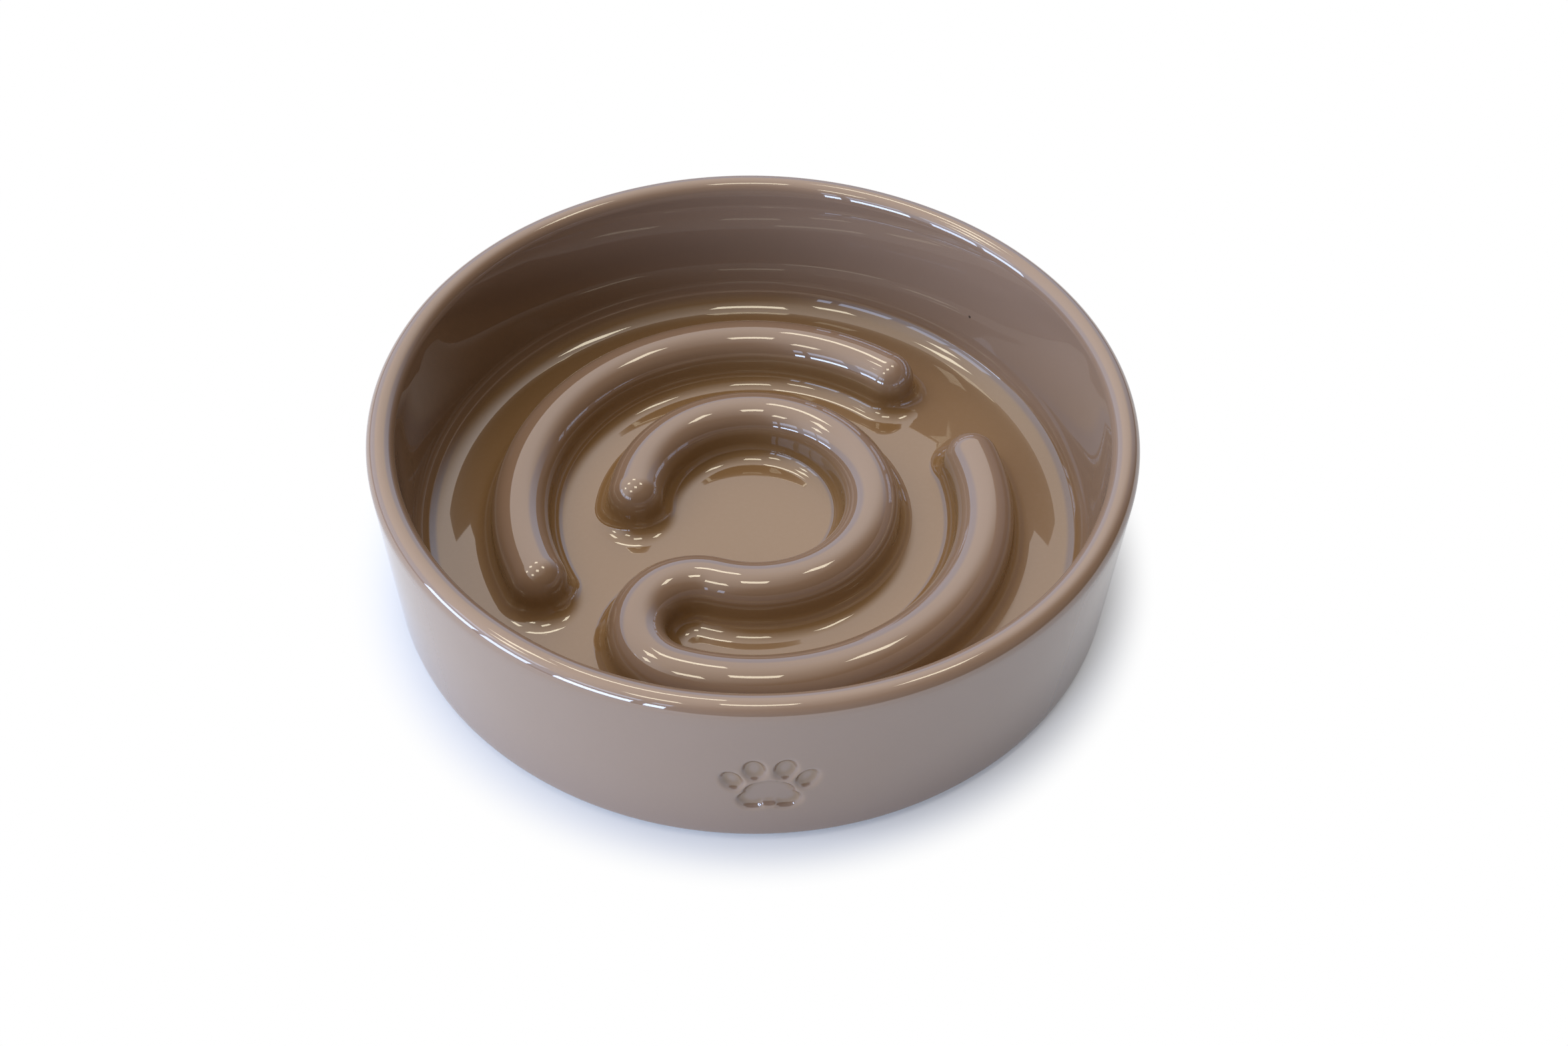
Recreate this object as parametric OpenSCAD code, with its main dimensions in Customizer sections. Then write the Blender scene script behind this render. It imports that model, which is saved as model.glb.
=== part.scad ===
// Slow feeder bowl: one glazed stoneware casting with a maze of round-topped
// ridges on its floor, standing on a silicone ring pressed into its foot.
// Millimetres. Origin on the table under the middle of the bowl, +Z up,
// the front (the side seen first in use) towards -Y.

/* [Bowl] */
// Diameter over the rim
bowl_d = 200; // [180:1:230]
// Height from the table to the top of the rim
bowl_h = 54; // [46:1:80]
// How far the outer wall leans out between the base and the rim, the draft of its mould
wall_lean = 1.7; // [0.5:0.1:4]
// Thickness of the wall at the rim, which is rounded over its whole thickness
wall_t = 7.2; // [6:0.2:9]
// Thickness of the wall at the base
wall_base_t = 6.3; // [5.5:0.1:9]
// Thickness of the floor between the ridges
floor_t = 7.3; // [5:0.1:9]
// Radius of the hollow corner between inner wall and floor
corner_r = 9; // [5:0.5:12]
// Radius of the outer edge of the base
base_edge_r = 3; // [2:0.5:6]

/* [Foot] */
// Width of the foot that stands round the recess under the floor
foot_w = 15; // [13:0.5:20]
// Depth of the recess under the floor
foot_depth = 2.4; // [1.5:0.1:4]
// Radius of the hollow corner inside the recess
foot_corner_r = 1; // [0.5:0.1:1.4]

/* [Grip ring] */
// Distance from the outer edge of the foot to the middle of the ring
ring_inset = 7.3; // [6:0.1:9]
// Width of the ring
ring_w = 5.6; // [4:0.2:7]
// Height of the ring
ring_h = 2.6; // [1.8:0.1:3]
// How far the ring stands out below the foot
ring_proud = 0.8; // [0.4:0.1:1.2]
// Radius of the ring's lower edges
ring_edge_r = 0.6; // [0.2:0.1:1]
// Gap between each side of the ring and its groove
ring_gap = 0.1; // [0.05:0.05:0.3]

/* [Ridges] */
// Height of the ridges above the floor
ridge_h = 14; // [11:0.5:18]
// Width of a ridge across the round of its top
ridge_w = 15.4; // [12:0.2:17]
// Draft of the ridge's sides, in degrees
ridge_draft = 4; // [1:0.5:6]
// Radius of the hollow corner between a ridge and the floor
ridge_corner_r = 5.2; // [3:0.2:5.4]
// Distance from the inner wall to the outer path, which the arc ridge and the outer limb of the S follow
path_inset = 28.4; // [27:0.2:31]
// Distance from the outer path to the inner path, which the hook of the S follows
path_gap = 31.1; // [29:0.1:34]
// Bearing of the arc ridge's right end, in degrees from +X
arc_from = 54; // [48:1:70]
// Bearing of the arc ridge's left end
arc_to = 209; // [190:1:214]
// Bearing of the hook's free end
hook_end = 179; // [160:1:190]
// Bearing at which the S turns back on itself
turn_at = 254.3; // [250:0.1:262]
// Bearing of the outer limb's free end
limb_end = 17; // [5:1:22]

/* [Hidden] */
$fn = 96;
full_turn = 360;
half_turn = 180;
rim_r = wall_t / 2;
foot_z = ring_proud;
recess_z = foot_z + foot_depth;
floor_z = recess_z + floor_t;
base_r = bowl_d / 2 - wall_lean;
cavity_r = base_r - wall_base_t;
foot_r = base_r - base_edge_r;
recess_r = foot_r - foot_w;
ring_inner_r = foot_r - ring_inset - ring_w / 2;
groove_w = ring_w + ring_gap + ring_gap;
overrun = 1;

// A ridge's section is drawn about its own path, standing on the floor at height zero
crest_r = ridge_w / 2;
crest_z = ridge_h - crest_r;
outer_path_r = cavity_r - path_inset;
inner_path_r = outer_path_r - path_gap;
turn_r = path_gap / 2;
turn_centre_r = inner_path_r + turn_r;
// How deep the ridges are rooted in the floor
ridge_root = floor_t / 2;
// Where two stretches of a ridge meet, one is slimmer than the other all round by the seam,
// and runs on inside it by the run-in; the ridges sink into the floor by the seam too
seam = 0.03;
run_in = 0.5;
// How far a straight side starts and ends inside the arcs that it joins
lap = 0.004;

// Half of the section, from its middle line outwards: a round top, a drafted side and a
// hollow corner at the floor, no larger than the side has room for
module ridge_half(inset = 0) {
    top_r = crest_r - inset;
    side_top = [top_r * cos(ridge_draft), crest_z + top_r * sin(ridge_draft)];
    side_foot_x = side_top[0] + (side_top[1] + seam) * tan(ridge_draft);
    hollow_r = min(ridge_corner_r, side_top[1] / (1 - sin(ridge_draft)));
    corner_rise = hollow_r * (1 - sin(ridge_draft));
    corner_x = side_foot_x + corner_rise / cos(ridge_draft);
    intersection() {
        translate([0, crest_z]) circle(r = top_r);
        translate([0, crest_z]) square([top_r, top_r]);
    }
    difference() {
        polygon([
            [0, -ridge_root - inset],
            [corner_x, -ridge_root - inset],
            [corner_x, lap - seam],
            [corner_x - hollow_r * cos(ridge_draft) + lap, corner_rise - seam],
            [side_top[0] - lap, side_top[1]],
            [0, side_top[1]]
        ]);
        translate([corner_x, hollow_r - seam]) circle(r = hollow_r);
    }
}

module ridge_section(inset = 0) {
    ridge_half(inset);
    mirror([1, 0]) ridge_half(inset);
}

// A stretch of ridge along a circle, from one bearing to another
module ridge_stretch(path_r, from, to, inset = 0) {
    rotate_extrude(angle = to - from, start = from) translate([path_r, 0]) ridge_section(inset);
}

// The angle that the run-in takes up on a path
function run_in_angle(path_r) = run_in / path_r * half_turn / PI;

// The round end of a ridge that stops at a bearing
module ridge_end(path_r, bearing) {
    translate([path_r * cos(bearing), path_r * sin(bearing)])
        rotate_extrude(angle = full_turn) ridge_half(seam);
}

module arc_ridge() {
    past = run_in_angle(outer_path_r);
    ridge_stretch(outer_path_r, arc_from - past, arc_to + past);
    ridge_end(outer_path_r, arc_from);
    ridge_end(outer_path_r, arc_to);
}

// Hook, turn and outer limb run into each other without a kink, because the turn's
// circle touches both paths at the same bearing
module s_ridge() {
    past = run_in_angle(turn_r);
    ridge_stretch(inner_path_r, turn_at - full_turn, hook_end + run_in_angle(inner_path_r));
    ridge_stretch(outer_path_r, turn_at, limb_end + full_turn + run_in_angle(outer_path_r));
    translate([turn_centre_r * cos(turn_at), turn_centre_r * sin(turn_at)])
        ridge_stretch(turn_r, turn_at + half_turn - past, turn_at + full_turn + past, seam);
    ridge_end(inner_path_r, hook_end);
    ridge_end(outer_path_r, limb_end);
}

// Outline of the cavity, from the middle line outwards: flat floor, hollow corner and
// a wall that widens evenly up to the rim
module cavity_section() {
    corner_mid = [cavity_r - corner_r, floor_z + corner_r];
    polygon([
        [-overrun, floor_z],
        [corner_mid[0], floor_z],
        [corner_mid[0], corner_mid[1]],
        [cavity_r, corner_mid[1]],
        [bowl_d / 2 - wall_t, bowl_h - rim_r],
        [bowl_d / 2 - wall_t, bowl_h + overrun],
        [-overrun, bowl_h + overrun]
    ]);
    translate(corner_mid) intersection() {
        circle(r = corner_r);
        translate([0, -corner_r]) square([corner_r, corner_r]);
    }
}

// The recess under the floor, with a hollow corner against the foot
module recess_section() {
    translate([-overrun, foot_z - overrun]) square([recess_r + overrun, overrun + foot_depth - foot_corner_r]);
    translate([-overrun, foot_z - overrun])
        square([recess_r - foot_corner_r + overrun, overrun + foot_depth]);
    translate([recess_r - foot_corner_r, recess_z - foot_corner_r]) circle(r = foot_corner_r);
}

// Outline of the wall, floor and foot, from the middle line outwards
module bowl_section() {
    difference() {
        union() {
            polygon([
                [0, foot_z],
                [foot_r, foot_z],
                [foot_r, foot_z + base_edge_r],
                [base_r, foot_z + base_edge_r],
                [bowl_d / 2, bowl_h - rim_r],
                [0, bowl_h - rim_r]
            ]);
            translate([foot_r, foot_z + base_edge_r]) circle(r = base_edge_r);
        }
        cavity_section();
        recess_section();
        translate([ring_inner_r - ring_gap, foot_z - overrun]) square([groove_w, ring_h - foot_z + overrun]);
    }
    translate([bowl_d / 2 - rim_r, bowl_h - rim_r]) circle(r = rim_r);
}

module bowl() {
    color([0.55, 0.46, 0.38]) {
        rotate_extrude(angle = full_turn) bowl_section();
        translate([0, 0, floor_z]) {
            arc_ridge();
            s_ridge();
        }
    }
}

// The ring's section: square where it sits in its groove, rounded at its lower edges
module ring_section() {
    translate([0, ring_edge_r]) square([ring_w, ring_h - ring_edge_r]);
    translate([ring_edge_r, 0]) square([ring_w - ring_edge_r - ring_edge_r, ring_h]);
    for (x = [ring_edge_r, ring_w - ring_edge_r]) translate([x, ring_edge_r]) circle(r = ring_edge_r);
}

module grip_ring() {
    color([0.86, 0.86, 0.84])
        rotate_extrude(angle = full_turn)
            translate([ring_inner_r, 0]) ring_section();
}

bowl();
grip_ring();
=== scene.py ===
# Slow feeder bowl: a glazed casting with a maze on its floor, standing on a soft ring.
# Sizes of the shapes are in millimetres, made metres as a mesh is made; those of the finishes, the
# table, the camera and the lights are in metres.
import math

import bpy
import numpy as np
from mathutils import Matrix, Vector, geometry


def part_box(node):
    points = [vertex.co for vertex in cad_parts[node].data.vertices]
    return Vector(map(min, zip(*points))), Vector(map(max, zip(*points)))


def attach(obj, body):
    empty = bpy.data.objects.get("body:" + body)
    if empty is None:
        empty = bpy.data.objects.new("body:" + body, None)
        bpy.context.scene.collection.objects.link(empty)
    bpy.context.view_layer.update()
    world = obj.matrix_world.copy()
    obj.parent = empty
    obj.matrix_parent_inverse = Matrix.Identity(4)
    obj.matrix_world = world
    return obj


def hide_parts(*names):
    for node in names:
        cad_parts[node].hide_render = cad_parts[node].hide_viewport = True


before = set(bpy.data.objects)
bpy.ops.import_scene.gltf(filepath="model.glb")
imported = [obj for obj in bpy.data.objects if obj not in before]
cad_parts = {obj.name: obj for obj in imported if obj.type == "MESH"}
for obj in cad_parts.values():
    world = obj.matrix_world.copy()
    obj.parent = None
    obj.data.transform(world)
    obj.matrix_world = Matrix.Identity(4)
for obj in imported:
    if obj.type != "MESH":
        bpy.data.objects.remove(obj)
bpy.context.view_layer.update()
mm = 0.001
bowlLow, bowlHigh = (np.array(corner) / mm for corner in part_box("bowl"))
ringLow, ringHigh = (np.array(corner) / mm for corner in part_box("grip_ring"))
print("frame loaded, bowl", np.round(bowlHigh - bowlLow, 1), "mm")


# Outlines and meshes

def arc(centre, radius, start, end, count=24):
    # centre + radius * (cos a, sin a), with a in even steps from start to end, in degrees
    a = np.radians(np.linspace(start, end, count))
    return np.column_stack([centre[0] + radius * np.cos(a), centre[1] + radius * np.sin(a)])


def lengthAlong(line):
    # running sum of the distances between neighbouring points
    return np.concatenate([[0.0], np.cumsum(np.hypot(*np.diff(line, axis=0).T))])


def soften(line, width, step=0.04):
    # each point becomes the bell-weighted mean of the line within three widths of it, so that arcs
    # and straights run into each other the way glaze flows over them; both ends stay put
    along = lengthAlong(line)
    dense = np.linspace(0.0, along[-1], int(along[-1] / step))
    points = np.column_stack([np.interp(dense, along, line[:, k]) for k in (0, 1)])
    reach = int(3 * width / step)
    bell = np.exp(-0.5 * (np.arange(-reach, reach + 1) * step / width) ** 2)
    before = 2 * points[0] - points[reach:0:-1]
    after = 2 * points[-1] - points[-2:-reach - 2:-1]
    padded = np.vstack([before, points, after])
    return np.column_stack([np.convolve(padded[:, k], bell / bell.sum(), "valid") for k in (0, 1)])


def spread(line, count, longest, extra=None, perRadian=8):
    # count points, even in a measure that adds length over the longest step to turning times
    # perRadian, so that bends get more of them; extra(points) adds steps per millimetre where
    # detail needs them
    along = lengthAlong(line)
    heading = np.unwrap(np.arctan2(np.gradient(line[:, 1]), np.gradient(line[:, 0])))
    perStep = np.diff(along) / longest + np.abs(np.diff(heading)) * perRadian
    if extra is not None:
        perStep = perStep + np.diff(along) * extra(line[1:])
    measure = np.concatenate([[0.0], np.cumsum(perStep)])
    even = np.linspace(0.0, measure[-1], count)
    return np.column_stack([np.interp(even, measure, line[:, k]) for k in (0, 1)])


def gridFaces(rows, columns, first=0, closedRows=False):
    # quads between neighbouring rows and columns of a grid of points that is closed round its columns
    i = np.arange(rows if closedRows else rows - 1)[:, None]
    j = np.arange(columns)[None, :]
    here, above = i * columns, ((i + 1) % rows) * columns
    beside = (j + 1) % columns
    quads = np.stack([here + j, here + beside, above + beside, above + j], axis=-1)
    return quads.reshape(-1, 4) + first


def meshObject(name, points, faces):
    # a smooth-shaded object at the origin; points in millimetres, faces as arrays of indices
    mesh = bpy.data.meshes.new(name)
    mesh.from_pydata((points * mm).tolist(), [], [face for block in faces for face in block.tolist()])
    mesh.polygons.foreach_set("use_smooth", np.ones(len(mesh.polygons), dtype=bool))
    mesh.update()
    piece = bpy.data.objects.new(name, mesh)
    bpy.context.scene.collection.objects.link(piece)
    return piece


# The soft ring: its section carried round a circle

ring = {
    "width": 5.6,
    "edge": 0.6,            # radius of its lower edges
    "edgePoints": 8,
    "topEdge": 0.15,
    "topEdgePoints": 6,
    "softness": 0.05,       # of the whole section
    "fineStep": 0.02,       # along the section while it is softened
    "longestStep": 0.8,
    "columns": 240,
    "rows": 40,
}


def makeRing(c):
    # the section, a rounded rectangle, turned about the middle of the bowl
    inner, outer = ringHigh[0] - c["width"], ringHigh[0]
    low, high = ringLow[2], ringHigh[2]
    e, t = c["edge"], c["topEdge"]
    section = np.vstack([
        arc([inner + e, low + e], e, 180, 270, c["edgePoints"]),
        arc([outer - e, low + e], e, 270, 360, c["edgePoints"]),
        arc([outer - t, high - t], t, 0, 90, c["topEdgePoints"]),
        arc([inner + t, high - t], t, 90, 180, c["topEdgePoints"]),
        [[inner, low + e]],
    ])
    section = soften(section, c["softness"], c["fineStep"])
    section = spread(section, c["rows"] + 1, c["longestStep"])[:-1]
    turn = np.radians(np.arange(c["columns"]) * 360 / c["columns"])
    r, z = section[:, 0][:, None], section[:, 1][:, None]
    points = np.stack([r * np.cos(turn), r * np.sin(turn), z + 0 * turn], axis=-1).reshape(-1, 3)
    return meshObject("softRing", points, [gridFaces(len(section), c["columns"], closedRows=True)])


# The casting: wall, floor and foot as one turned outline

casting = {
    "wall": 7.2,            # thickness at the rim, which is rounded right over
    "cavityRadius": 92.0,   # where the inner wall meets the hollow corner
    "corner": 9.0,          # radius of that corner
    "floorTop": 10.5,       # height of the floor above the table
    "baseRadius": 98.3,     # the outer wall at the table
    "baseEdge": 3.0,        # radius of the base's outer edge
    "footWidth": 15.0,      # of the foot round the recess
    "footEdge": 0.4,
    "recess": 2.4,          # its depth
    "recessCorner": 1.0,
    "grooveGap": 0.1,       # beside the soft ring
    "floorReach": 1.5,      # how far the turned part runs in over the flat floor
    "glazeSoftness": 0.35,
    "longestStep": 4.0,
    "rows": 170,
    "columns": 330,
    "perDegree": 20,        # trial bearings from which the columns are chosen
}

# The mark pressed into the front wall: a plain paw print
mark = {
    "bearing": 274.1,       # degrees from +X
    "height": 24.0,         # of its middle above the table
    "depth": 1.3,
    "softness": 0.30,
    "lobes": [              # across, up, half width, half height, turn in degrees
        (0.0, -3.4, 6.2, 4.9, 0),
        (-4.0, -6.0, 3.6, 3.2, 0),
        (4.0, -6.0, 3.6, 3.2, 0),
        (-3.7, 6.2, 2.6, 3.7, 6),
        (3.7, 6.2, 2.6, 3.7, -6),
        (-9.0, 1.9, 2.4, 3.4, 24),
        (9.0, 1.9, 2.4, 3.4, -24),
    ],
    "halfWidth": 14.0,      # of the part of the wall whose grid is finer for it
    "halfHeight": 12.0,
    "extraColumns": 9,      # times as many columns there, beside the usual ones
    "extraRows": 2.2,       # per millimetre
    "fadePower": 8,         # how sharply the extra columns end
    "wallDepth": 3.5,       # points this far in from the largest radius still belong to the outer wall
}


def markDepth(across, up, c):
    # depth / (1 + exp(distance / softness)), the distance being the smallest to any lobe's edge, and
    # the exponent held within a limit that leaves nothing to see
    limit = 40
    nearest = np.full(np.shape(across), np.inf)
    for x, y, a, b, turn in c["lobes"]:
        s, k = math.sin(math.radians(turn)), math.cos(math.radians(turn))
        dx, dy = across - x, up - y
        u, v = dx * k + dy * s, dy * k - dx * s
        nearest = np.minimum(nearest, (np.hypot(u / a, v / b) - 1) * min(a, b))
    return c["depth"] / (1 + np.exp(np.clip(nearest / c["softness"], -limit, limit)))


def castingOutline(c):
    # from the middle of the recess out under the foot, up the wall, over the rim, down to the floor
    few, many = 8, 48       # points of a small arc and of a large one
    top, outer, footZ = bowlHigh[2], bowlHigh[0], bowlLow[2]
    rimR = c["wall"] / 2
    footR = c["baseRadius"] - c["baseEdge"]
    recessR, recessZ = footR - c["footWidth"], footZ + c["recess"]
    edge, hollow = c["footEdge"], c["recessCorner"]
    grooveIn = ringHigh[0] - ring["width"] - c["grooveGap"]
    grooveOut, grooveZ = ringHigh[0] + c["grooveGap"], ringHigh[2]
    flatR = c["cavityRadius"] - c["corner"]
    return np.vstack([
        [[0.0, recessZ]],
        arc([recessR - hollow, recessZ - hollow], hollow, 90, 0),
        arc([recessR + edge, footZ + edge], edge, 180, 270, few),
        [[grooveIn, footZ], [grooveIn, grooveZ], [grooveOut, grooveZ], [grooveOut, footZ]],
        arc([footR, footZ + c["baseEdge"]], c["baseEdge"], 270, 360),
        arc([outer - rimR, top - rimR], rimR, 0, 180, many),
        arc([flatR, c["floorTop"] + c["corner"]], c["corner"], 0, -90, many),
        [[flatR - c["floorReach"], c["floorTop"]]],
    ])


def castingBearings(c, m):
    # bearings round the turn, even in the running sum of 1 + extra / (1 + (distance from the mark
    # over its half angle) to a high power), so that they are closer together where the mark is
    fine = np.linspace(0.0, 360.0, 360 * c["perDegree"] + 1)
    away = np.abs((fine - m["bearing"] + 180) % 360 - 180)
    halfAngle = math.degrees(m["halfWidth"] / bowlHigh[0])
    density = 1 + m["extraColumns"] / (1 + (away / halfAngle) ** m["fadePower"])
    measure = np.concatenate([[0.0], np.cumsum(density[1:])])
    even = np.arange(c["columns"]) / c["columns"] * measure[-1]
    return np.radians(np.interp(even, measure, fine))


def castingGrid(c, m):
    # the outline turned about the upright axis, with the mark pushed into the outer wall
    wallFrom = bowlHigh[0] - m["wallDepth"]

    def rowsForMark(points):
        # the extra rows per millimetre on the outer wall at the mark's height, and none elsewhere
        r, z = points.T
        return m["extraRows"] * ((r > wallFrom) & (np.abs(z - m["height"]) < m["halfHeight"]))

    line = soften(castingOutline(c), c["glazeSoftness"])
    line = spread(line, c["rows"] + 1, c["longestStep"], rowsForMark)[1:]
    turn = castingBearings(c, m)
    r, z = line[:, 0][:, None] + 0 * turn, line[:, 1][:, None] + 0 * turn
    across = bowlHigh[0] * ((turn - math.radians(m["bearing"]) + math.pi) % (2 * math.pi) - math.pi)
    r = r - (r > wallFrom) * markDepth(across + 0 * r, z - m["height"], m)
    return np.stack([r * np.cos(turn), r * np.sin(turn), z], axis=-1)


# The ridges: one profile carried along each path, and round its ends

ridges = {
    "height": 14.0,
    "topRadius": 7.7,
    "topPoints": 60,
    "draft": 4.0,           # lean of the sides, in degrees
    "corner": 5.2,          # radius of the hollow where a side meets the floor
    "cornerPoints": 40,
    "outerPath": 63.6,
    "innerPath": 32.5,
    "arcFrom": 54.0,        # bearings, in degrees from +X
    "arcTo": 209.0,
    "hookEnd": 179.0,
    "turnAt": 254.3,
    "limbEnd": 17.0,
    "glazeSoftness": 0.3,
    "floorReach": 1.2,      # how far the strip runs out over the flat floor
    "endFoot": 0.10,        # how much longer the foot of a free end is, as a share
    "spacing": 1.9,         # along the path
    "longestStep": 2.0,     # across it
    "rows": 34,
    "endColumns": 22,
}


def ridgeProfile(c):
    # distance from the path against height over the floor: round top, leaning side, hollow corner, flat
    lean = math.radians(c["draft"])
    topZ = c["height"] - c["topRadius"]
    sideTop = [c["topRadius"] * math.cos(lean), topZ + c["topRadius"] * math.sin(lean)]
    cornerRise = c["corner"] * (1 - math.sin(lean))
    cornerX = sideTop[0] + sideTop[1] * math.tan(lean) + cornerRise / math.cos(lean)
    line = np.vstack([
        arc([0.0, topZ], c["topRadius"], 90, c["draft"], c["topPoints"]),
        arc([cornerX, c["corner"]], c["corner"], 180 + c["draft"], 270, c["cornerPoints"]),
        [[cornerX + c["floorReach"], 0.0]],
    ])
    mirrored = np.vstack([line[:0:-1] * [-1, 1], line])
    soft = soften(mirrored, c["glazeSoftness"])
    return spread(soft[len(soft) // 2:], c["rows"], c["longestStep"])


def pathOf(arcs, spacing):
    # points centre + radius * (cos a, sin a) along each arc in turn, with the unit vector to their left
    points, lefts = [], []
    for number, (centre, radius, start, end) in enumerate(arcs):
        count = max(3, round(radius * math.radians(abs(end - start)) / spacing))
        last = number == len(arcs) - 1
        a = np.radians(np.linspace(start, end, count + last, endpoint=last))
        ray = np.column_stack([np.cos(a), np.sin(a)])
        points.append(np.array(centre) + radius * ray)
        lefts.append(-math.copysign(1, end - start) * ray)
    return np.vstack(points), np.vstack(lefts)


def ridgePaths(c):
    # the arc on the outer path, and the S: along the inner path to the turn, half round a circle
    # that touches both paths, and back along the outer path
    middle, r = (0.0, 0.0), (c["outerPath"] - c["innerPath"]) / 2
    away = (c["outerPath"] + c["innerPath"]) / 2
    at = math.radians(c["turnAt"])
    turnMiddle = (away * math.cos(at), away * math.sin(at))
    arcPath = [(middle, c["outerPath"], c["arcFrom"], c["arcTo"])]
    sPath = [
        (middle, c["innerPath"], c["hookEnd"], c["turnAt"] - 360),
        (turnMiddle, r, c["turnAt"] - 180, c["turnAt"]),
        (middle, c["outerPath"], c["turnAt"], c["limbEnd"] + 360),
    ]
    return [pathOf(arcs, c["spacing"]) for arcs in (arcPath, sPath)]


def ridgeSurface(points, lefts, profile, c):
    # point = path point + distance * direction, z = height(distance); the directions go out along
    # the left side, swing round the far end, come back along the right and swing round the near end,
    # and straight ahead of an end the distance grows by endFoot * (distance / widest) squared
    count = len(points)
    swing = np.linspace(0, math.pi, c["endColumns"] + 2)[1:-1, None]
    ahead = np.column_stack([lefts[:, 1], -lefts[:, 0]])
    farEnd = np.cos(swing) * lefts[-1] + np.sin(swing) * ahead[-1]
    nearEnd = -np.cos(swing) * lefts[0] - np.sin(swing) * ahead[0]
    direction = np.vstack([lefts, farEnd, -lefts[::-1], nearEnd])
    order = np.arange(count)
    base = np.concatenate([
        order, np.full(len(swing), count - 1), order[::-1], np.full(len(swing), 0)])
    distance, height = profile[1:, 0], profile[1:, 1]
    forward = np.concatenate([np.zeros(count), np.sin(swing[:, 0]) ** 2] * 2)[:, None]
    reach = distance * (1 + c["endFoot"] * forward * (distance / distance[-1]) ** 2)
    flat = points[base][:, None, :] + reach[..., None] * direction[:, None, :]
    z = np.broadcast_to(height, flat.shape[:2])[..., None]
    crest = np.column_stack([points, np.full(count, profile[0, 1])])
    body = np.concatenate([flat, z], axis=-1).reshape(-1, 3)
    columns, rows = len(base), len(distance)
    u, k = np.arange(columns), np.arange(rows - 1)[None, :]
    beside = (u + 1) % columns
    here, there = count + u[:, None] * rows + k, count + beside[:, None] * rows + k
    quads = np.stack([here, there, there + 1, here + 1], axis=-1).reshape(-1, 4)
    innerHere, innerThere = count + u * rows, count + beside * rows
    along = base != base[beside]
    crestQuads = np.column_stack([base, base[beside], innerThere, innerHere])[along]
    crestTris = np.column_stack([base, innerThere, innerHere])[~along]
    edge = count + u * rows + rows - 1
    return np.vstack([crest, body]), [quads, crestQuads, crestTris], edge


# The flat floor between them

def fillFloor(outerLoop, holes, gap=5.0, closest=1e-5, batches=8):
    # triangles between the outer loop and the holes, over a hexagonal lattice of spare points;
    # each loop is (indices, points in plan), and spare points keep half a gap from every loop
    loops = [outerLoop] + holes
    border = np.vstack([plan for _, plan in loops])
    reach = np.abs(border).max()
    lattice = np.arange(-reach, reach, gap)
    x, y = np.meshgrid(lattice, lattice * math.sqrt(3) / 2)
    x = x + gap / 2 * (np.arange(len(lattice)) % 2)[:, None]
    spare = np.column_stack([x.ravel(), y.ravel()])
    away = np.concatenate([
        np.sqrt(((part[:, None, :] - border[None, :, :]) ** 2).sum(-1)).min(1)
        for part in np.array_split(spare, batches)])
    spare = spare[(away > gap / 2) & (np.hypot(*spare.T) < reach)]
    coordinates = [Vector(p) for p in np.vstack([border, spare])]
    starts = np.cumsum([0] + [len(plan) for _, plan in loops])
    outlines = [list(range(starts[i], starts[i + 1])) for i in range(len(loops))]
    outlines = outlines[:1] + [hole[::-1] for hole in outlines[1:]]
    insideOnly = 1
    _, _, triangles, source, _, owner = geometry.delaunay_2d_cdt(
        coordinates, [], outlines, insideOnly, closest)
    # a triangle that only the outer loop owns lies in no hole
    kept = np.array([[source[v][0] for v in tri] for tri, own in zip(triangles, owner) if own == [0]])
    return spare, kept, len(border)


# Hand casting leaves nothing quite true: long waves of size, then turning in radians per
# millimetre of x, y and z, and phase
waves = {
    "x": [(0.07, 0.031, 0.052, 0.060, 0.3), (0.03, -0.11, 0.07, 0.05, 1.9)],
    "y": [(0.07, 0.047, -0.029, 0.055, 2.1), (0.03, 0.08, 0.12, -0.04, 0.8)],
    "z": [(0.06, 0.045, 0.038, 0.0, 4.0), (0.03, -0.09, 0.10, 0.0, 5.2)],
    "steady": 6.0,          # over this height above the ring the upright waves grow to their size
}


def waveSum(points, terms):
    # the sum of size * sin(a x + b y + c z + phase) over the terms
    x, y, z = points.T
    return sum(size * np.sin(x * a + y * b + z * c + phase) for size, a, b, c, phase in terms)


def settled(points, w):
    # each point moved by the waves at its place; the foot stays flat
    lift = np.clip((points[:, 2] - ringHigh[2]) / w["steady"], 0.0, 1.0)
    return points + np.column_stack([
        waveSum(points, w["x"]), waveSum(points, w["y"]), lift * waveSum(points, w["z"])])


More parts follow.
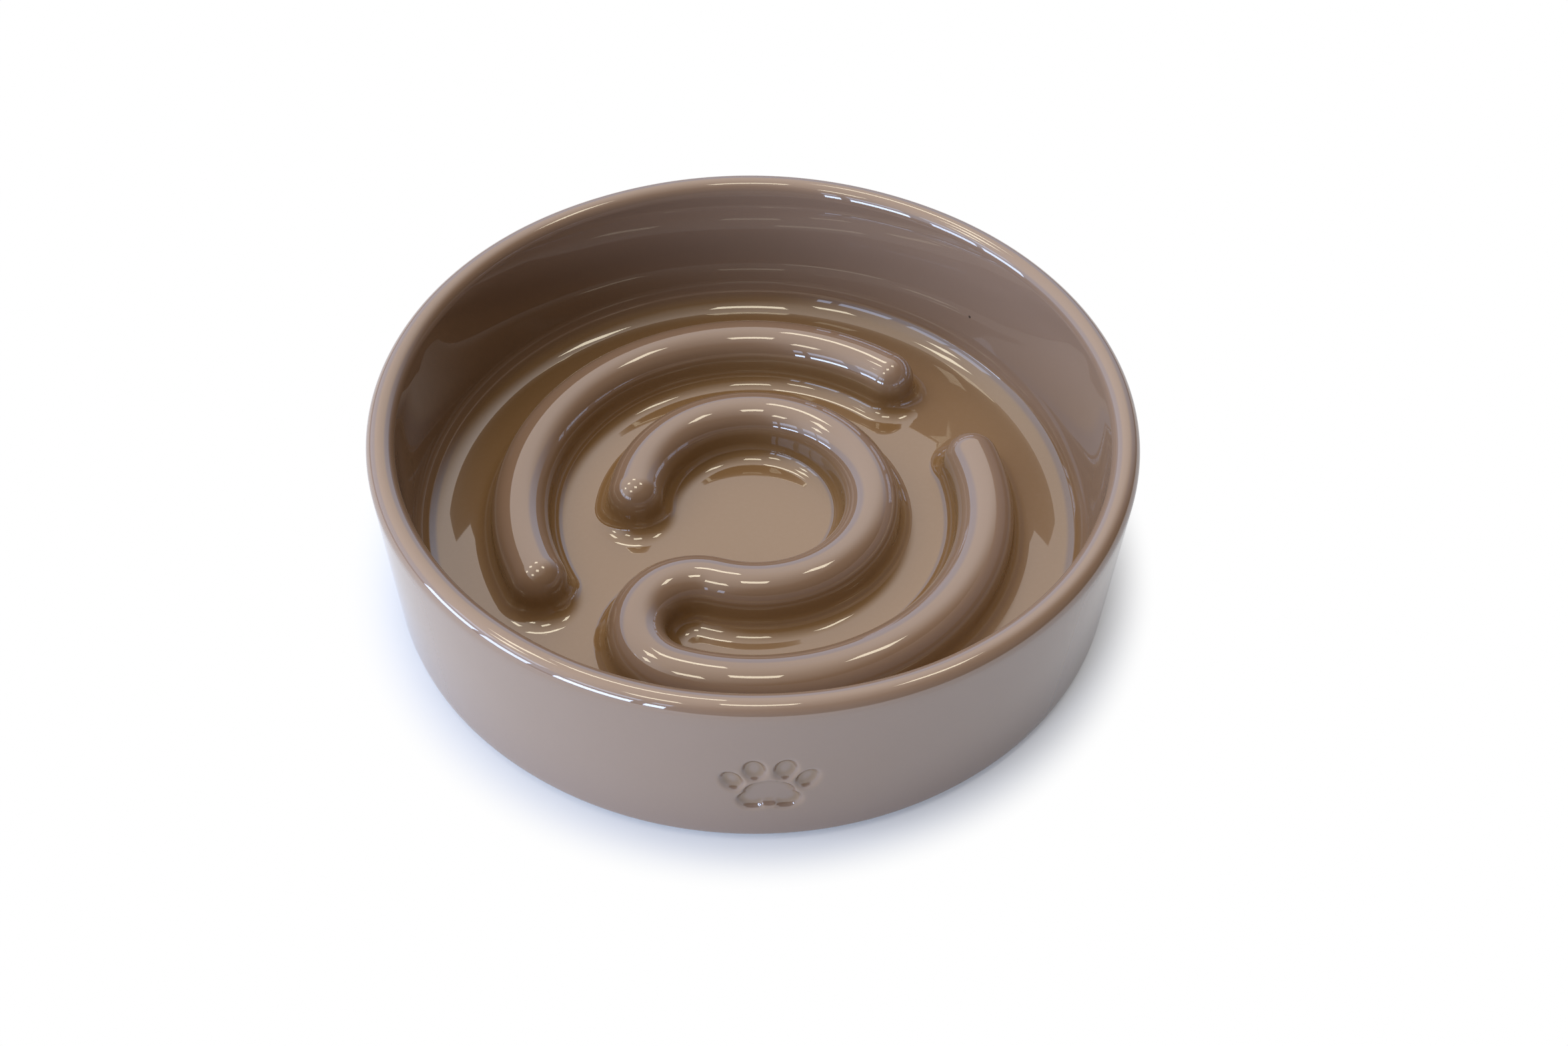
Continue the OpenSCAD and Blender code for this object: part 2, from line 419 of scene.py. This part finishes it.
def makeBowl():
    # one closed skin: the turned casting, both ridges and the floor between them share the points
    # of their borders
    grid = castingGrid(casting, mark)
    rows, columns = grid.shape[:2]
    pole = np.array([[0.0, 0.0, bowlLow[2] + casting["recess"]]])
    points = [pole, grid.reshape(-1, 3)]
    j = np.arange(columns)
    faces = [gridFaces(rows, columns, first=1), np.column_stack([0 * j, 1 + (j + 1) % columns, 1 + j])]
    inner = 1 + (rows - 1) * columns + j
    loops = [(inner, grid[-1, :, :2])]
    used = 1 + rows * columns
    profile = ridgeProfile(ridges)
    for path, lefts in ridgePaths(ridges):
        surface, blocks, edge = ridgeSurface(path, lefts, profile, ridges)
        surface[:, 2] += casting["floorTop"]
        points.append(surface)
        faces += [block + used for block in blocks]
        loops.append((edge + used, surface[edge, :2]))
        used += len(surface)
    spare, triangles, borderCount = fillFloor(loops[0], loops[1:])
    lookup = np.concatenate([indices for indices, _ in loops] + [used + np.arange(len(spare))])
    inUse = np.unique(triangles[triangles >= borderCount]) - borderCount
    packed = np.full(len(spare), -1)
    packed[inUse] = np.arange(len(inUse))
    lookup[borderCount:] = used + packed
    points.append(np.column_stack([spare[inUse], np.full(len(inUse), casting["floorTop"])]))
    faces.append(lookup[triangles])
    return meshObject("glazedBowl", settled(np.vstack(points), waves), faces)


def bendOf(mesh, radius=4.0, passes=6, keep=0.4, tiny=1e-6):
    # how hollow (above 0) or bulging (below 0) the surface is at each point: the mean over its edges
    # of 2 * normal . edge / length squared, smoothed along the edges, over the bend of a ball of
    # that radius
    count = len(mesh.vertices)
    points, normals = np.empty(count * 3), np.empty(count * 3)
    mesh.vertices.foreach_get("co", points)
    mesh.vertices.foreach_get("normal", normals)
    points, normals = points.reshape(-1, 3) / mm, normals.reshape(-1, 3)
    ends = np.empty(len(mesh.edges) * 2, dtype=np.int32)
    mesh.edges.foreach_get("vertices", ends)
    a, b = ends.reshape(-1, 2).T
    both, other = np.concatenate([a, b]), np.concatenate([b, a])
    edge = points[other] - points[both]
    bend = 2 * (normals[both] * edge).sum(1) / np.maximum((edge ** 2).sum(1), tiny)
    degree = np.bincount(both, minlength=count)
    value = np.bincount(both, bend, count) / degree
    for _ in range(passes):
        value = keep * value + (1 - keep) * np.bincount(both, value[other], count) / degree
    return np.tanh(value * radius)


def setAttribute(mesh, name, values):
    # one number for each point, for a material to read
    layer = mesh.attributes.new(name, "FLOAT", "POINT")
    layer.data.foreach_set("value", values.astype(np.float32))


# Shader maths: an expression on wires adds the Math nodes

class Wire:
    # one output socket of a node
    def __init__(self, tree, socket):
        self.tree, self.socket = tree, socket

    def maths(self, operation, *values):
        return self.tree.node("ShaderNodeMath", {"operation": operation}, dict(enumerate(values)))[0]

    def __add__(self, other):
        return self.maths("ADD", self, other)

    def __radd__(self, other):
        return self.maths("ADD", other, self)

    def __sub__(self, other):
        return self.maths("SUBTRACT", self, other)

    def __rsub__(self, other):
        return self.maths("SUBTRACT", other, self)

    def __mul__(self, other):
        return self.maths("MULTIPLY", self, other)

    def __rmul__(self, other):
        return self.maths("MULTIPLY", other, self)

    def above(self, low, high):
        # 0 below low, 1 above high, eased between them
        return self.tree.node(
            "ShaderNodeMapRange", {"interpolation_type": "SMOOTHSTEP"},
            {"Value": self, "From Min": low, "From Max": high, "To Min": 0.0, "To Max": 1.0})["Result"]


class Made:
    # a new node, whose outputs are taken by name or number
    def __init__(self, tree, node):
        self.tree, self.node = tree, node

    def __getitem__(self, key):
        return Wire(self.tree, self.node.outputs[key])


class Tree:
    # the nodes of a material or of the world
    def __init__(self, owner):
        owner.use_nodes = True
        self.nodes, self.links = owner.node_tree.nodes, owner.node_tree.links
        self.nodes.clear()

    def node(self, kind, settings=None, values=None):
        # settings are set first, a ramp's stops among them; then the sockets get their values or links
        made = self.nodes.new(kind)
        for name, value in (settings or {}).items():
            if name == "stops":
                self.setStops(made.color_ramp, value)
            else:
                setattr(made, name, value)
        for key, value in (values or {}).items():
            if isinstance(value, Wire):
                self.links.new(value.socket, made.inputs[key])
            else:
                made.inputs[key].default_value = value
        return Made(self, made)

    def setStops(self, ramp, stops):
        while len(ramp.elements) > 1:
            ramp.elements.remove(ramp.elements[-1])
        for number, (position, tone) in enumerate(stops):
            stop = ramp.elements[0] if number == 0 else ramp.elements.new(position)
            stop.position = position
            stop.color = colour(*tone)

    def noise(self, where, scale, detail):
        return self.node(
            "ShaderNodeTexNoise", None, {"Vector": where, "Scale": scale, "Detail": detail})["Fac"]

    def mixColours(self, factor, first, second):
        return self.node(
            "ShaderNodeMix", {"data_type": "RGBA"}, {"Factor": factor, 6: first, 7: second})[2]

    def bump(self, height, strength, depth):
        return self.node(
            "ShaderNodeBump", None, {"Strength": strength, "Distance": depth, "Height": height})["Normal"]

    def seen(self, mirrored):
        # 1 for what the camera sees, `mirrored` for what the glaze mirrors, 0 for what lights the bowl
        path = self.node("ShaderNodeLightPath")
        return path["Is Camera Ray"] + (path["Is Glossy Ray"] + path["Is Transmission Ray"]) * mirrored


def colour(r, g, b):
    return (r, g, b, 1.0)


# The glaze: heights, radii and places in metres
glaze = {
    "milky": colour(0.270, 0.178, 0.125),   # painted sheen: a paler, greyer tone on the walls and on the crests of the ridges
    "deep": colour(0.250, 0.148, 0.068),    # on the floor and the lower sides of the ridges, without the painted sheen
    "thin": colour(0.312, 0.202, 0.130),    # where it runs off an edge
    "pooled": colour(0.215, 0.118, 0.044),  # where it gathers in a hollow, made darker still as painted shade
    "wallRadius": (0.0880, 0.0915),     # between these distances from the axis the painted sheen comes in
    "crestHeight": (0.0160, 0.0235),    # and between these heights
    "pooledBend": (0.06, 0.9),          # it starts to pool and take painted shade, and is fully pooled and shaded, at these hollows
    "thinBend": (0.12, 0.95),           # and thins out at these bulges
    "bendShare": 0.7,                   # of the pooled-and-shaded or the thin tone there
    "cloudScale": 38.0,                 # of the slow change in its tone
    "cloudDetail": 3.0,
    "cloudShare": 0.05,                 # of the pooled-and-shaded tone at its middle, and how far that swings
    "cloudSwing": 0.15,
    "grainScale": 900.0,                # of the fine pale grain in it
    "grainDetail": 2.0,
    "grainRange": (0.35, 0.95),
    "grainShare": 0.10,
    "roughness": 0.6,                   # of its milky body
    "roughnessSpread": 0.08,
    "reliefScale": 240.0,
    "reliefDetail": 1.0,
    "reliefShare": 0.2,
    "bumpStrength": 0.3,
    "bumpDepth": 0.0001,
    "coatRoughness": 0.025,             # of its clear, glassy surface
    "coatIor": 1.88,
    "specks": [((0.0616, 0.0686, 0.0267), (0.00027, 0.000585))],   # place, radii of the soft edge
    "speckTone": colour(0.03, 0.02, 0.015),
}

# The bare clay under the foot, where the glaze is wiped off
clay = {
    "tone": colour(0.640, 0.560, 0.450),
    "speckled": colour(0.50, 0.42, 0.32),
    "speckleRange": (0.35, 0.75),
    "speckleShare": 0.5,
    "top": (0.0012, 0.0014),            # heights between which the glaze starts
    "wander": 0.0004,
    "extraRoughness": 0.4,
}


def glazeMaterial(g, c):
    # a matt body in its own tone, made paler on walls and crests as painted sheen, thinned by the bend of
    # the surface and pooled in hollows with painted shade, under a glassy coat
    material = bpy.data.materials.new("taupeGlaze")
    t = Tree(material)
    where = t.node("ShaderNodeTexCoord")["Object"]
    place = t.node("ShaderNodeSeparateXYZ", None, {"Vector": where})
    surfaceBend = t.node("ShaderNodeAttribute", {"attribute_name": "bendForGlazeAndShade"})["Fac"]
    cloud = t.noise(where, g["cloudScale"], g["cloudDetail"]) - 0.5
    grain = t.noise(where, g["grainScale"], g["grainDetail"])
    pooled = surfaceBend.above(*g["pooledBend"])
    thin = (0.0 - surfaceBend).above(*g["thinBend"])
    level = t.node("ShaderNodeCombineXYZ", None, {"X": place["X"], "Y": place["Y"]})["Vector"]
    fromAxis = t.node("ShaderNodeVectorMath", {"operation": "LENGTH"}, {0: level})["Value"]
    onWall, onCrest = fromAxis.above(*g["wallRadius"]), place["Z"].above(*g["crestHeight"])
    # painted sheen: walls and crests get a paler, greyer tone than the floor
    tone = t.mixColours(onWall.maths("MAXIMUM", onWall, onCrest), g["deep"], g["milky"])
    # pooled glaze in hollows, darkened further there as painted shade
    tone = t.mixColours(pooled * g["bendShare"], tone, g["pooled"])
    tone = t.mixColours(thin * g["bendShare"], tone, g["thin"])
    tone = t.mixColours(cloud * g["cloudSwing"] + g["cloudShare"], tone, g["pooled"])
    tone = t.mixColours(grain.above(*g["grainRange"]) * g["grainShare"], tone, g["thin"])
    for spot, softEdge in g["specks"]:
        away = t.node("ShaderNodeVectorMath", {"operation": "DISTANCE"}, {0: where, 1: spot})["Value"]
        tone = t.mixColours(1 - away.above(*softEdge), tone, g["speckTone"])
    wiped = 1 - (place["Z"] + cloud * c["wander"]).above(*c["top"])
    bare = t.mixColours(grain.above(*c["speckleRange"]) * c["speckleShare"], c["tone"], c["speckled"])
    tone = t.mixColours(wiped, tone, bare)
    relief = t.noise(where, g["reliefScale"], g["reliefDetail"]) * g["reliefShare"] + grain * wiped
    shader = t.node("ShaderNodeBsdfPrincipled", None, {
        "Base Color": tone,
        "Roughness": g["roughness"] + cloud * g["roughnessSpread"] + wiped * c["extraRoughness"],
        "Specular IOR Level": 0.0,
        "Normal": t.bump(relief, g["bumpStrength"], g["bumpDepth"]),
        "Coat Weight": 1 - wiped,
        "Coat Roughness": g["coatRoughness"],
        "Coat IOR": g["coatIor"]})["BSDF"]
    t.node("ShaderNodeOutputMaterial", None, {"Surface": shader})
    return material


silicone = {
    "tones": (colour(0.70, 0.70, 0.67), colour(0.78, 0.78, 0.75)),
    "cloudScale": 60.0,
    "cloudDetail": 3.0,
    "fineScale": 1500.0,
    "fineDetail": 2.0,
    "roughness": 0.5,
    "roughnessSpread": 0.15,
    "ior": 1.41,
    "bumpStrength": 0.3,
    "bumpDepth": 0.0001,
}


def siliconeMaterial(s):
    # a pale rubber with a fine moulded grain
    material = bpy.data.materials.new("softSilicone")
    t = Tree(material)
    where = t.node("ShaderNodeTexCoord")["Object"]
    fine = t.noise(where, s["fineScale"], s["fineDetail"])
    shader = t.node("ShaderNodeBsdfPrincipled", None, {
        "Base Color": t.mixColours(t.noise(where, s["cloudScale"], s["cloudDetail"]), *s["tones"]),
        "Roughness": s["roughness"] + fine * s["roughnessSpread"],
        "IOR": s["ior"],
        "Normal": t.bump(fine, s["bumpStrength"], s["bumpDepth"])})["BSDF"]
    t.node("ShaderNodeOutputMaterial", None, {"Surface": shader})
    return material


bowl = makeBowl()
setAttribute(bowl.data, "bendForGlazeAndShade", bendOf(bowl.data))
bowl.data.materials.append(glazeMaterial(glaze, clay))
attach(bowl, "root")
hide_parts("bowl")
print("bowl made,", len(bowl.data.polygons), "faces")

softRing = makeRing(ring)
softRing.data.materials.append(siliconeMaterial(silicone))
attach(softRing, "root")
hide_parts("grip_ring")
print("soft ring made,", len(softRing.data.polygons), "faces")


# Table, camera and light

white = colour(1, 1, 1)
table = {
    "half": 3.0,
    "tone": colour(0.84, 0.90, 1.0),
    "whiteFrom": 0.097,     # distance from the middle at which the camera starts to see more white
    "whiteTo": 0.113,       # and at which it sees nothing else
    "leastWhite": 0.15,
    "mirrored": 0.42,       # share of that white in the glaze's reflections
}


def makeTable(c):
    # one flat sheet at table height; seen by the camera it turns plain white away from the bowl
    h = c["half"]
    mesh = bpy.data.meshes.new("table")
    mesh.from_pydata([(-h, -h, 0), (h, -h, 0), (h, h, 0), (-h, h, 0)], [], [(0, 1, 2, 3)])
    piece = bpy.data.objects.new("table", mesh)
    bpy.context.scene.collection.objects.link(piece)
    material = bpy.data.materials.new("paleTable")
    t = Tree(material)
    where = t.node("ShaderNodeTexCoord")["Object"]
    away = t.node("ShaderNodeVectorMath", {"operation": "LENGTH"}, {0: where})["Value"]
    share = away.above(c["whiteFrom"], c["whiteTo"]) * (1 - c["leastWhite"]) + c["leastWhite"]
    plain = t.node("ShaderNodeBsdfDiffuse", None, {"Color": c["tone"]})["BSDF"]
    glow = t.node("ShaderNodeEmission", None, {"Color": white, "Strength": 1.0})["Emission"]
    mixed = t.node("ShaderNodeMixShader", None, {0: t.seen(c["mirrored"]) * share, 1: plain, 2: glow})[0]
    t.node("ShaderNodeOutputMaterial", None, {"Surface": mixed})
    mesh.materials.append(material)


view = {
    "focal": 41.12,         # mm, on a film 36 mm wide
    "film": 36.0,
    "distance": 0.50449,
    "elevation": 47.2754,
    "roll": -1.8366,
    "right": 0.00852,       # how far the line of sight passes beside and above the origin
    "up": 0.00564,
    "clip": (0.01, 50.0),
}


def makeCamera(v):
    # back = away from the bowl along the line of sight; right and up are turned about it by the roll
    e, r = math.radians(v["elevation"]), math.radians(v["roll"])
    back = Vector((0, -math.cos(e), math.sin(e)))
    right = Vector((1, 0, 0))
    up = Vector((0, math.sin(e), math.cos(e)))
    place = back * v["distance"] + right * v["right"] + up * v["up"]
    rolledRight = right * math.cos(r) - up * math.sin(r)
    rolledUp = right * math.sin(r) + up * math.cos(r)
    data = bpy.data.cameras.new("camera")
    data.lens, data.sensor_width, data.sensor_fit = v["focal"], v["film"], "HORIZONTAL"
    data.clip_start, data.clip_end = v["clip"]
    camera = bpy.data.objects.new("camera", data)
    bpy.context.scene.collection.objects.link(camera)
    camera.matrix_world = Matrix((
        (rolledRight.x, rolledUp.x, back.x, place.x),
        (rolledRight.y, rolledUp.y, back.y, place.y),
        (rolledRight.z, rolledUp.z, back.z, place.z),
        (0, 0, 0, 1)))
    bpy.context.scene.camera = camera


abovePanels = {
    # two rows of three soft panels that face down, a little to the left of the bowl
    "middle": (-0.445, 0.01, 2.0),
    "along": (-0.66, -0.64),            # from each to the next in its row
    "across": (0.97, -0.62),            # from row to row
    "size": (0.36, 0.28),
    "radiance": 5.4,
    "tone": (1.0, 0.92, 0.71),
}
sidePanels = {
    # upright soft panels that face the bowl, each spanning bearings from +X, in degrees
    "distance": 2.2,
    "rows": [((0.19, 0.80), 1.0), ((1.24, 1.72), 0.2)],     # heights, and share of the radiance
    "front": {"bearings": [(224.0, 243.0), (246.0, 251.0)], "radiance": 8.6},
    "left": {"bearings": [(184.0, 200.0), (202.5, 217.0)], "radiance": 6.4},
    "tone": (0.78, 1.0, 1.45),
}
surroundings = {
    # their tone by the height of the direction, 1 straight up, on a pale side and on a dim side
    "pale": (-0.766, 0.643, 0.0),       # the direction of the pale side
    "edge": (-0.50, 0.35),              # how nearly a direction points there where the sides meet
    "paleStops": [
        (0.08, (0.0, 0.03, 0.10)), (0.20, (0.46, 0.61, 0.86)), (0.50, (0.48, 0.63, 0.86)),
        (0.60, (0.90, 0.85, 0.82)), (0.82, (0.92, 0.87, 0.84)), (0.92, (0.92, 0.84, 0.76))],
    "dimStops": [
        (0.12, (0.01, 0.007, 0.004)), (0.50, (0.02, 0.014, 0.008)), (0.68, (0.08, 0.058, 0.036)),
        (0.82, (0.11, 0.08, 0.05)), (0.92, (0.30, 0.26, 0.22))],
    "strength": 1.60,
    "horizon": 0.08,                    # up to this height the glaze mirrors some of the camera's white
    "mirrored": 0.4,
}


def addPanel(name, place, size, radiance, tone, facing):
    # a panel at a place whose face looks along a direction; power = pi * area * radiance
    data = bpy.data.lights.new(name, "AREA")
    data.shape = "RECTANGLE"
    data.size, data.size_y = size
    data.energy = math.pi * size[0] * size[1] * radiance
    data.color = tone
    panel = bpy.data.objects.new(name, data)
    bpy.context.scene.collection.objects.link(panel)
    panel.location = place
    panel.rotation_euler = Vector(facing).to_track_quat("-Z", "Y").to_euler()


def addAbovePanels(c):
    # place = middle + step * along + row * across, all at one height
    x, y, z = c["middle"]
    for step in (-1, 0, 1):
        for row in (-0.5, 0.5):
            place = (x + step * c["along"][0] + row * c["across"][0],
                     y + step * c["along"][1] + row * c["across"][1], z)
            name = "abovePanel_%d_%d" % (step + 1, row + 0.5)
            addPanel(name, place, c["size"], c["radiance"], c["tone"], (0, 0, -1))


def addSidePanels(side, c):
    # place = distance * (cos, sin) of the middle bearing; width = 2 * distance * tan(half the span)
    far = c["distance"]
    for column, (start, end) in enumerate(c[side]["bearings"]):
        bearing = math.radians((start + end) / 2)
        width = 2 * far * math.tan(math.radians(end - start) / 2)
        facing = (-math.cos(bearing), -math.sin(bearing), 0)
        for row, ((low, high), share) in enumerate(c["rows"]):
            place = (far * math.cos(bearing), far * math.sin(bearing), (low + high) / 2)
            name = "%sPanel_%d_%d" % (side, column, row)
            addPanel(name, place, (width, high - low), c[side]["radiance"] * share, c["tone"], facing)


def makeSurroundings(c):
    # the pale and the dim side, eased into each other; the camera sees plain white instead
    world = bpy.data.worlds.new("studio")
    bpy.context.scene.world = world
    t = Tree(world)
    where = t.node("ShaderNodeTexCoord")["Generated"]
    height = t.node("ShaderNodeSeparateXYZ", None, {"Vector": where})["Z"]
    towardsPale = t.node(
        "ShaderNodeVectorMath", {"operation": "DOT_PRODUCT"}, {0: where, 1: c["pale"]})["Value"]
    pale = t.node("ShaderNodeValToRGB", {"stops": c["paleStops"]}, {"Fac": height})["Color"]
    dim = t.node("ShaderNodeValToRGB", {"stops": c["dimStops"]}, {"Fac": height})["Color"]
    tone = t.mixColours(towardsPale.above(*c["edge"]), dim, pale)
    low = 1 - height.above(0.0, c["horizon"])
    sky = t.node("ShaderNodeBackground", None, {"Color": tone, "Strength": c["strength"]})["Background"]
    plain = t.node("ShaderNodeBackground", None, {"Color": white, "Strength": 1.0})["Background"]
    mixed = t.node("ShaderNodeMixShader", None, {0: t.seen(low * c["mirrored"]), 1: sky, 2: plain})[0]
    t.node("ShaderNodeOutputWorld", None, {"Surface": mixed})


makeTable(table)
makeCamera(view)
addAbovePanels(abovePanels)
addSidePanels("front", sidePanels)
addSidePanels("left", sidePanels)
makeSurroundings(surroundings)
bpy.context.scene.view_settings.view_transform = "Standard"
print("table, camera and light made")
